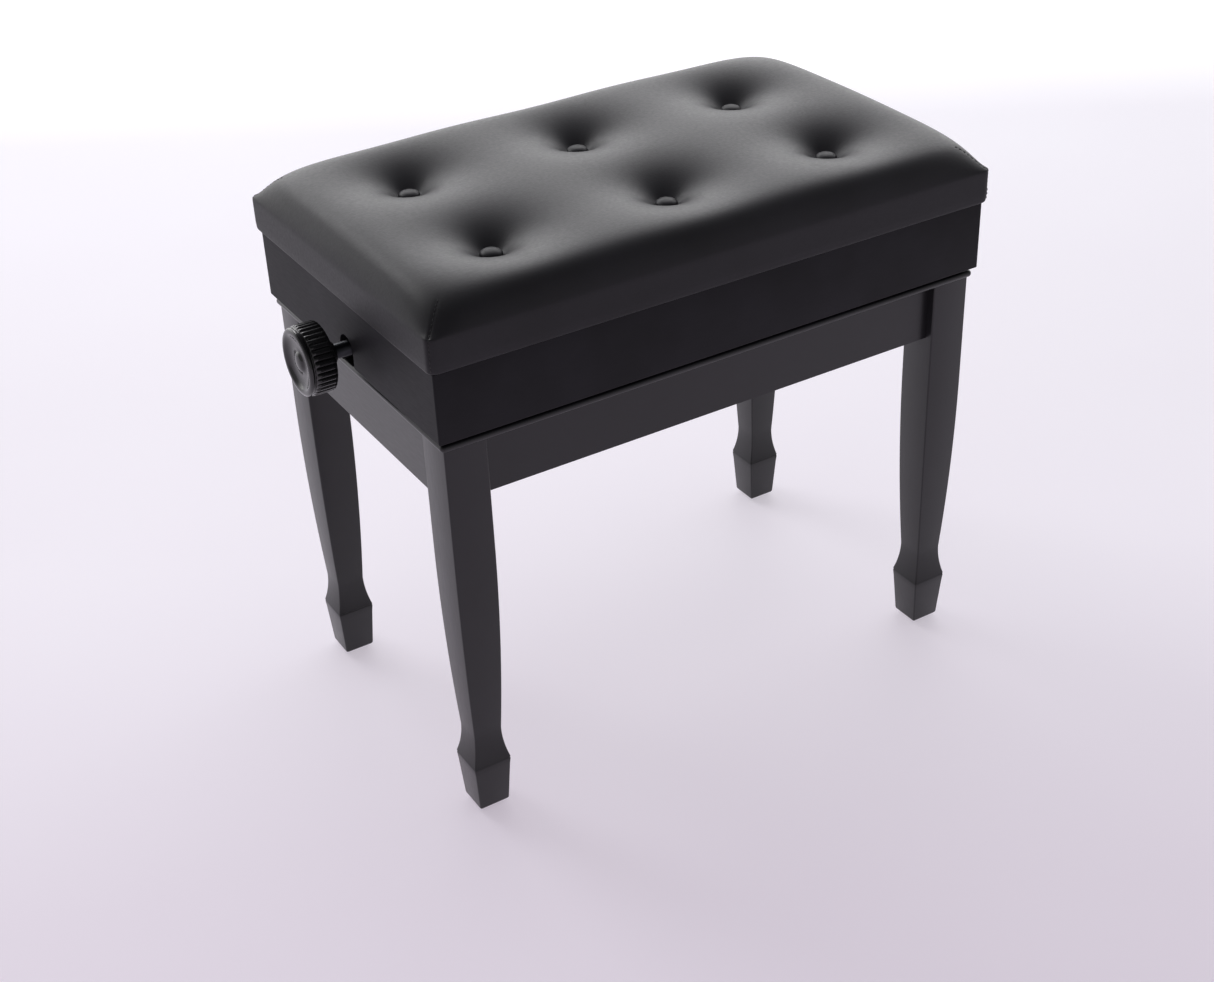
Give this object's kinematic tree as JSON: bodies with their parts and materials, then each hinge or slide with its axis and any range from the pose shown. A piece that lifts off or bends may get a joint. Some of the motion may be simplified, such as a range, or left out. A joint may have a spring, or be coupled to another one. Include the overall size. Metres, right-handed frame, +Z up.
{
  "type": "piano bench",
  "caption": "Black adjustable piano bench with a button-tufted vinyl cushion on a box seat, square tapered legs with spade feet, and a screw-driven scissor lift turned by fluted knobs.",
  "frame": {"origin": "on the floor under the centre of the bench", "axes": "+X along the bench to the right, +Y to its back, +Z up"},
  "size_m": [0.607, 0.322, 0.488],
  "materials": {
    "black_lacquered_wood": "black satin lacquer on hardwood",
    "zinc_plated_steel": "bright zinc plated",
    "blackened_steel": "black oxide, oiled",
    "lift_steel": "cold-rolled and oiled",
    "brass": "turned",
    "knob_plastic": "moulded gloss black",
    "softwood": "sawn and sanded",
    "plywood": "raw plywood",
    "foam": "polyurethane foam",
    "black_vinyl": "fine-grain black vinyl",
    "nylon": "natural nylon"
  },
  "bodies": {
    "base": {"leg_front_left": "black_lacquered_wood", "leg_front_right": "black_lacquered_wood", "leg_back_left": "black_lacquered_wood", "leg_back_right": "black_lacquered_wood", "apron_front": "black_lacquered_wood", "apron_back": "black_lacquered_wood", "apron_left": "black_lacquered_wood", "apron_right": "black_lacquered_wood", "rim_front": "black_lacquered_wood", "rim_back": "black_lacquered_wood", "rim_left": "black_lacquered_wood", "rim_right": "black_lacquered_wood", "corner_brackets": "zinc_plated_steel", "hanger_bolts": "zinc_plated_steel", "wing_nuts": "zinc_plated_steel", "bracket_screws": "zinc_plated_steel", "foot_glides": "nylon", "lower_rail_front": "lift_steel", "lower_rail_back": "lift_steel", "lower_rail_screws": "zinc_plated_steel", "bearing_plates": "lift_steel", "rod_bushes": "brass", "base_pivot_rivets": "zinc_plated_steel"},
    "left_outer_arms": {"outer_arm_left_front": "lift_steel", "outer_arm_left_back": "lift_steel", "centre_rivets_left": "zinc_plated_steel", "tie_rod_left": "zinc_plated_steel"},
    "left_cross_arms": {"cross_arm_left_front": "lift_steel", "cross_arm_left_back": "lift_steel"},
    "left_nut": {"nut_bar_left": "lift_steel", "lift_nut_left": "brass"},
    "right_outer_arms": {"outer_arm_right_front": "lift_steel", "outer_arm_right_back": "lift_steel", "centre_rivets_right": "zinc_plated_steel", "tie_rod_right": "zinc_plated_steel"},
    "right_cross_arms": {"cross_arm_right_front": "lift_steel", "cross_arm_right_back": "lift_steel"},
    "right_nut": {"nut_bar_right": "lift_steel", "lift_nut_right": "brass"},
    "screw": {"lift_screw": "blackened_steel", "knob_left": "knob_plastic", "knob_right": "knob_plastic", "rod_pins": "zinc_plated_steel", "thrust_collars": "zinc_plated_steel"},
    "seat": {"box_front": "black_lacquered_wood", "box_back": "black_lacquered_wood", "box_left": "black_lacquered_wood", "box_right": "black_lacquered_wood", "corner_blocks": "softwood", "cleats": "softwood", "upper_rail_front": "lift_steel", "upper_rail_back": "lift_steel", "upper_rail_screws": "zinc_plated_steel", "seat_pivot_rivets": "zinc_plated_steel", "seat_board": "plywood", "foam_pad": "foam", "cushion_cover": "black_vinyl", "tufting_buttons": "black_vinyl", "tufting_twines": "nylon"}
  },
  "joints": [
    {"name": "lift", "type": "hinge", "parent": "base", "child": "left_outer_arms", "pos_m": [-0.203, 0, 0.385], "axis": [0, -1, 0], "range_deg": [0, 24.84]},
    {"name": "left_scissor", "type": "hinge", "parent": "left_outer_arms", "child": "left_cross_arms", "pos_m": [-0.10925, 0, 0.4], "axis": [0, -1, 0], "range_deg": [-49.68, 0]},
    {"name": "seat_pivot", "type": "hinge", "parent": "left_cross_arms", "child": "seat", "pos_m": [-0.203, 0, 0.415], "axis": [0, -1, 0], "range_deg": [0, 24.84]},
    {"name": "left_nut_turn", "type": "hinge", "parent": "left_cross_arms", "child": "left_nut", "pos_m": [-0.0155, 0, 0.385], "axis": [0, -1, 0], "range_deg": [0, 24.84]},
    {"name": "right_arm_pivot", "type": "hinge", "parent": "base", "child": "right_outer_arms", "pos_m": [0.203, 0, 0.385], "axis": [0, -1, 0], "range_deg": [-24.84, 0]},
    {"name": "right_scissor", "type": "hinge", "parent": "right_outer_arms", "child": "right_cross_arms", "pos_m": [0.10925, 0, 0.4], "axis": [0, -1, 0], "range_deg": [0, 49.68]},
    {"name": "right_nut_turn", "type": "hinge", "parent": "right_cross_arms", "child": "right_nut", "pos_m": [0.0155, 0, 0.385], "axis": [0, -1, 0], "range_deg": [-24.84, 0]},
    {"name": "screw_turn", "type": "hinge", "parent": "base", "child": "screw", "pos_m": [0, 0, 0.385], "axis": [1, 0, 0], "range_deg": [0, 3600]}
  ],
  "couplings": [
    {"joint": "left_scissor", "follows": "lift", "ratio": -2},
    {"joint": "seat_pivot", "follows": "lift", "ratio": 1},
    {"joint": "left_nut_turn", "follows": "lift", "ratio": 1},
    {"joint": "right_arm_pivot", "follows": "lift", "ratio": -1},
    {"joint": "right_scissor", "follows": "lift", "ratio": 2},
    {"joint": "right_nut_turn", "follows": "lift", "ratio": -1},
    {"joint": "screw_turn", "follows": "lift", "ratio": 144.7}
  ]
}
